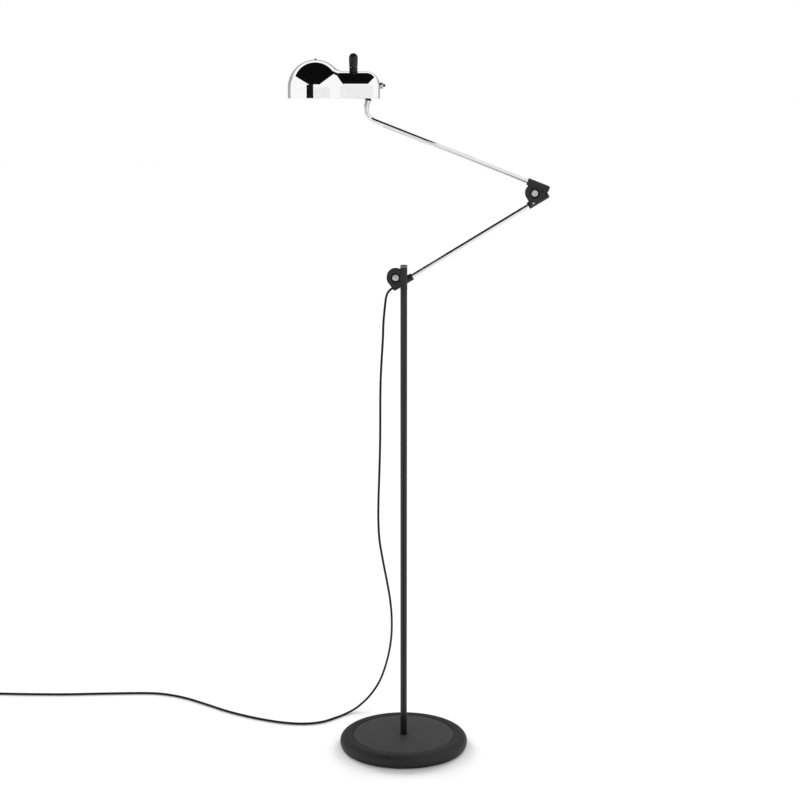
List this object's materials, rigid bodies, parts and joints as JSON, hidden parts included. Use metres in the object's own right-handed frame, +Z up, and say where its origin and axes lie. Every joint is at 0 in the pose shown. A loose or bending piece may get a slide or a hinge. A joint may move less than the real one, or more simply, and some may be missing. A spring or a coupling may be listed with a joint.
{
  "type": "adjustable arm floor lamp",
  "caption": "Floor lamp with a weighted round base, slim black pole, folding chrome arms on friction joints, a domed chrome head with a handle and push switch, and a mains cord.",
  "frame": {"origin": "centre of the base's underside, on the floor", "axes": "+Z up the pole; the arms lie in the XZ plane, with the elbow towards +X and the dome towards -X; the bolt heads face -Y"},
  "size_m": [1.3826, 0.4582, 1.4971],
  "materials": {
    "felt": "dark soft foot pad, matt",
    "cast_weight": "rough cast iron, hidden inside the base",
    "base_disc": "fine-textured dark grey powder coat, satin",
    "base_rim": "black moulded rim, soft satin",
    "pole_paint": "black satin powder coat",
    "plated_steel": "zinc plated steel",
    "bright_hardware": "bright plated fasteners",
    "joint_plastic": "black filled nylon, fine texture",
    "handle_plastic": "black moulding, satin gloss",
    "stem_paint": "black paint",
    "arm_chrome": "polished chrome tube",
    "head_chrome": "polished chrome",
    "cord_cover": "black flexible sheath, satin",
    "contact_brass": "nickel and brass contacts",
    "holder_moulding": "off-white thermoset moulding",
    "opal_glass": "white opal glass",
    "shield_metal": "matt white coated aluminium"
  },
  "bodies": {
    "stand": {"base_foot_pad": "felt", "base_weight": "cast_weight", "base_top_plate": "base_disc", "base_rim": "base_rim", "pole_foot_washer": "plated_steel", "pole_foot_bolt": "plated_steel", "pole_foot_plug": "plated_steel", "pole": "pole_paint", "pole_spigot": "plated_steel", "pole_top_cap": "bright_hardware"},
    "pole_head": {"pole_clamp": "joint_plastic", "shoulder_bolt": "bright_hardware", "shoulder_friction_washer": "plated_steel", "mains_cord": "cord_cover", "mains_cord_coil": "cord_cover", "plug_body": "cord_cover", "plug_pin_left": "contact_brass", "plug_pin_right": "contact_brass"},
    "lower_arm": {"shoulder_arm_clamp": "joint_plastic", "shoulder_nut": "bright_hardware", "shoulder_spring_washer": "plated_steel", "shoulder_set_screw": "bright_hardware", "lower_arm_tube": "arm_chrome", "lower_arm_lead": "cord_cover", "cord_bushing": "cord_cover", "elbow_lower_clamp": "joint_plastic", "elbow_lower_set_screw": "bright_hardware", "elbow_lower_end_plug": "joint_plastic", "elbow_nut": "bright_hardware", "elbow_spring_washer": "plated_steel"},
    "upper_arm": {"elbow_upper_clamp": "joint_plastic", "elbow_upper_set_screw": "bright_hardware", "elbow_upper_end_plug": "joint_plastic", "elbow_bolt": "bright_hardware", "elbow_friction_washer": "plated_steel", "upper_arm_tube": "arm_chrome", "upper_arm_lead": "cord_cover"},
    "head_stem": {"swivel_stem": "stem_paint", "tilt_pin_front": "plated_steel", "tilt_pin_back": "plated_steel"},
    "head": {"head_shell": "head_chrome", "tail_cover": "joint_plastic", "tilt_bracket": "plated_steel", "handle_stud": "plated_steel", "handle_spacer": "plated_steel", "handle_nut": "plated_steel", "handle_collar": "handle_plastic", "handle_knob": "handle_plastic", "dome_screw": "stem_paint", "dome_spacer": "plated_steel", "heat_shield": "shield_metal", "holder_bracket": "plated_steel", "lamp_holder": "holder_moulding", "bulb_cap": "contact_brass", "bulb": "opal_glass", "terminal_block": "holder_moulding", "head_lead": "cord_cover", "switch_body": "joint_plastic", "switch_nut": "head_chrome"},
    "button": {"switch_button": "joint_plastic"}
  },
  "joints": [
    {"name": "arm_swivel", "type": "hinge", "parent": "stand", "child": "pole_head", "pos_m": [0, 0, 1.0355], "axis": [0, 0, 1], "range_deg": [-170, 170]},
    {"name": "shoulder_tilt", "type": "hinge", "parent": "pole_head", "child": "lower_arm", "pos_m": [-0.0175, 0.00765, 1.0355], "axis": [0, -1, 0], "range_deg": [-50, 53], "deforming": ["mains_cord"]},
    {"name": "elbow", "type": "hinge", "parent": "lower_arm", "child": "upper_arm", "pos_m": [0.27191, 0.00765, 1.21146], "axis": [0, -1, 0], "range_deg": [-125, 30]},
    {"name": "head_swivel", "type": "hinge", "parent": "upper_arm", "child": "head_stem", "pos_m": [-0.074, 0, 1.40166], "axis": [0.2402, 0, 0.9707], "range_deg": [-120, 120]},
    {"name": "head_tilt", "type": "hinge", "parent": "head_stem", "child": "head", "pos_m": [-0.07111, 0, 1.41331], "axis": [0, -1, 0], "range_deg": [-25, 25]},
    {"name": "switch_press", "type": "slide", "parent": "head", "child": "button", "axis": [-1, 0, 0], "range_m": [0, 0.0025], "stiffness_N_per_m": 900, "springref_m": -0.001}
  ]
}
